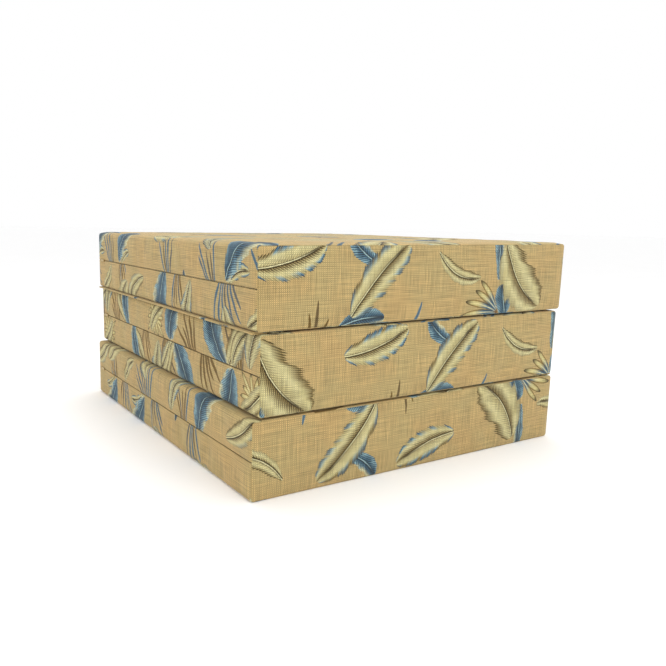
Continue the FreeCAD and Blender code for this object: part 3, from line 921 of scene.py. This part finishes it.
def make_foam(panel):
    """The foam block: a closed form with rounded edges, just inside the cover."""
    low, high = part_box(f"{panel}_foam_core")
    low, high = np.array(low) + FOAM_MARGIN, np.array(high) - FOAM_MARGIN
    low[0] += FOAM_ZIP_MARGIN
    centre, half = (low + high) / 2, (high - low) / 2
    keys, _, faces = box_grid(FOAM_CELLS)
    spots = (2 * keys / np.array(FOAM_CELLS) - 1) * half
    # round the edges: each point goes to the radius from an inner box. All points are on the outer box's
    # surface, so none is nearer to the inner box than that
    cores = np.clip(spots, FOAM_RADIUS - half, half - FOAM_RADIUS)
    out = spots - cores
    out *= FOAM_RADIUS / np.linalg.norm(out, axis=1, keepdims=True)
    mesh = bpy.data.meshes.new(f"{panel}_foam")
    mesh.from_pydata((centre + cores + out).tolist(), [], faces)
    smooth(mesh)
    obj = new_object(f"{panel}_foam", mesh)
    obj.data.materials.append(FOAM)
    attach(obj, f"{panel}_panel")
    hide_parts(f"{panel}_foam_core")


# Which part of the print each piece is cut from: across, up, and whether it is turned over. Both of a
# panel's bands are cut alike.
BAND_CUTS = {"top": (0.0, 0.022, False), "middle": (-0.152, 0.032, False), "bottom": (0.375, 0.153, True)}
WRAP_CUTS = {
    ("top", "upper"): (0.0, 0.160, False),
    ("top", "lower"): (0.700, 0.320, True),
    ("middle", "upper"): (0.0, 0.480, False),
    ("middle", "lower"): (0.370, 0.480, True),
    ("bottom", "upper"): (-0.205, 0.320, False),
    ("bottom", "lower"): (0.900, 0.160, True),
}

for panel in PANELS:
    levels = face_levels(panel)
    make_foam(panel)
    for side in ("upper", "lower"):
        across, up, turned_over = WRAP_CUTS[panel, side]
        make_wrap(panel, side, levels, (across, up), turned_over)
    for side in ("front", "rear"):
        across, up, turned_over = BAND_CUTS[panel]
        make_band(panel, side, levels, (across, up), turned_over)

# ---------------------------------------------------------------- hinge strips and zip teeth

STRIP_CLOTH = 1.3 * MM
# Which part of the print the strips are cut from.
STRIP_CUT = (0.35, 0.100)
# The fold strips, and the leaf of each on the panel below and on the panel above.
FOLDS = {
    "upper_fold": ("middle_upper_hinge_leaf", "top_hinge_leaf"),
    "lower_fold": ("bottom_hinge_leaf", "middle_lower_hinge_leaf"),
}
# The teeth: how far apart, their radius, how deep their rounded ends are, and how many sides they have.
TOOTH_PITCH = 1.5 * MM
TOOTH_RADIUS = 0.55 * MM
TOOTH_END = 0.25 * MM
TOOTH_END_WIDTH = 0.6
TOOTH_SIDES = 8


def make_strip(joint, leaves):
    """A strip of cloth folded in a U round a fold's line, sewn to the panel below and to the one above."""
    fold_x = joint["pos_m"][0]
    outward = 1 if fold_x > 0 else -1
    boxes = [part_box(leaf) for leaf in leaves]
    below, above = [(low[2] + high[2]) / 2 for low, high in boxes]
    inner = boxes[0][0][0] if outward > 0 else boxes[0][1][0]
    radius = (above - below) / 2
    middle = (above + below) / 2
    turn = np.radians(np.linspace(-90, 90, 9))
    flat = even(inner, fold_x, SHORT_STEP)
    level = np.ones(len(flat) - 1)
    x = np.concatenate([flat[:-1], fold_x + outward * radius * np.cos(turn), flat[::-1][1:]])
    z = np.concatenate([level * below, middle + radius * np.sin(turn), level * above])
    y = even(boxes[0][0][1], boxes[0][1][1], STRIP_STEP)
    points = np.stack(np.broadcast_arrays(x[:, None], y[None, :], z[:, None]), axis=-1)
    length = np.concatenate([[0.0], np.cumsum(np.hypot(np.diff(x), np.diff(z)))])
    uvs = np.stack(np.broadcast_arrays(y[None, :] + STRIP_CUT[0], length[:, None] + STRIP_CUT[1]), axis=-1)
    name = joint["name"] + "_strip"
    obj = new_object(name, grid_mesh(name, points, uvs))
    thicken(obj, STRIP_CLOTH, offset=0.0)
    obj.data.materials.append(PRINT)
    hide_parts(*leaves)
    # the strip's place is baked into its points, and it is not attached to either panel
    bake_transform(obj)


def make_teeth(panel, side):
    """A row of moulded teeth: short round-ended bars across the tape's edge, one after the other."""
    node = f"{panel}_zip_coil_{side}"
    low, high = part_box(node)
    centre_x = (low[0] + high[0]) / 2
    turn = 2 * math.pi * np.arange(TOOTH_SIDES) / TOOTH_SIDES
    rings = [
        (low[2], TOOTH_END_WIDTH), (low[2] + TOOTH_END, 1.0),
        (high[2] - TOOTH_END, 1.0), (high[2], TOOTH_END_WIDTH),
    ]
    points, faces = [], []
    for y in np.arange(low[1] + TOOTH_PITCH / 2, high[1], TOOTH_PITCH):
        base = len(points)
        for z, width in rings:
            radius = TOOTH_RADIUS * width
            points += [(centre_x + radius * math.cos(a), y + radius * math.sin(a), z) for a in turn]
        for ring in range(len(rings) - 1):
            for k in range(TOOTH_SIDES):
                start = base + ring * TOOTH_SIDES
                a, b = start + k, start + (k + 1) % TOOTH_SIDES
                faces.append((a, b, b + TOOTH_SIDES, a + TOOTH_SIDES))
        faces.append([base + k for k in reversed(range(TOOTH_SIDES))])
        faces.append([base + (len(rings) - 1) * TOOTH_SIDES + k for k in range(TOOTH_SIDES)])
    name = f"{panel}_zip_teeth_{side}"
    mesh = bpy.data.meshes.new(name)
    mesh.from_pydata(points, [], faces)
    obj = new_object(name, mesh)
    obj.data.materials.append(COIL)
    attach(obj, f"{panel}_panel")
    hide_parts(node)


joints = {joint["name"]: joint for joint in frame["joints"]}
for fold, leaves in FOLDS.items():
    make_strip(joints[fold], leaves)
for panel in PANELS:
    for side in ("upper", "lower"):
        make_teeth(panel, side)

# ---------------------------------------------------------------- CAD pieces that stay

LOOKS = {"zip_tape": TAPE, "zip_slider": METAL, "zip_puller": METAL, "zip_stops": METAL}
for name, node in frame["nodes"].items():
    for part, material in LOOKS.items():
        if part in name:
            node.data.materials.clear()
            node.data.materials.append(material)

# ---------------------------------------------------------------- floor, light and camera


WHITE = (1.0, 1.0, 1.0)
FLOOR_HALF = 30.0
# The lights: where each stands, where it looks, its side length, its power in watts and its colour.
LIGHTS = {
    "key": ((-0.2, -1.25, 1.7), (0, 0, 0.3), 1.0, 7.0, WHITE),
    "warm_side": ((-3.2, -0.4, 1.4), (0, 0, 0.2), 1.6, 5.0, (1.0, 0.64, 0.38)),
    "overhead": ((0.2, 0.3, 2.4), (0, 0, 0.36), 1.6, 16.0, WHITE),
}
# The camera: its place, the way it looks in degrees, its lens in millimetres and its shift, which keeps
# the stack where the photograph frames it.
CAMERA_PLACE = (-0.7469, -1.105, 0.3855)
HEADING, PITCH, ROLL = 58.99, -9.67, 0.99
SENSOR, LENS = 36.0, 35.83
SHIFT_X, SHIFT_Y = 0.096, 0.0033


def floor_material():
    """A nearly white studio floor."""
    graph = Graph("pale_floor")
    source = graph.node("ShaderNodeTexCoord")
    tone = graph.noise(source.outputs["Object"], 3.0, 2.0)
    colour = graph.mix(tone, srgb(255, 255, 255), srgb(252, 252, 252))
    return graph.surface(colour, 0.9)


def make_floor():
    mesh = bpy.data.meshes.new("floor")
    signs = [(-1, -1), (1, -1), (1, 1), (-1, 1)]
    mesh.from_pydata([(x * FLOOR_HALF, y * FLOOR_HALF, 0) for x, y in signs], [], [(0, 1, 2, 3)])
    floor = new_object("floor", mesh)
    mesh.materials.append(floor_material())


def make_world():
    """Even white light from all round."""
    world = bpy.data.worlds.new("studio")
    world.use_nodes = True
    background = world.node_tree.nodes["Background"]
    background.inputs[0].default_value = (*WHITE, 1.0)
    background.inputs[1].default_value = 1.0
    bpy.context.scene.world = world


def area_light(name, place, target, size, power, colour):
    """A square lamp that looks at its target."""
    light = bpy.data.lights.new(name, "AREA")
    light.shape = "SQUARE"
    light.size = size
    light.energy = power
    light.color = colour
    lamp = new_object(name, light)
    direction = Vector(target) - Vector(place)
    lamp.rotation_euler = direction.to_track_quat("-Z", "Y").to_euler()
    lamp.location = place


def make_camera():
    """The camera stands a little above the stack and looks across it at its near corner."""
    camera = bpy.data.cameras.new("camera")
    camera.sensor_width = SENSOR
    camera.lens = LENS
    camera.shift_x = SHIFT_X
    camera.shift_y = SHIFT_Y
    view = new_object("camera", camera)
    heading, pitch, roll = (math.radians(angle) for angle in (HEADING, PITCH, ROLL))
    level = Vector((math.cos(heading), math.sin(heading), 0))
    forward = level * math.cos(pitch) + Vector((0, 0, math.sin(pitch)))
    right = forward.cross(Vector((0, 0, 1))).normalized()
    up = right.cross(forward)
    axes = Matrix((right, up, -forward)).transposed() @ Matrix.Rotation(roll, 3, "Z")
    view.matrix_world = Matrix.Translation(CAMERA_PLACE) @ axes.to_4x4()
    bpy.context.scene.camera = view


make_floor()
make_world()
for name, settings in LIGHTS.items():
    area_light(name, *settings)
make_camera()
bpy.context.scene.view_settings.view_transform = "Standard"
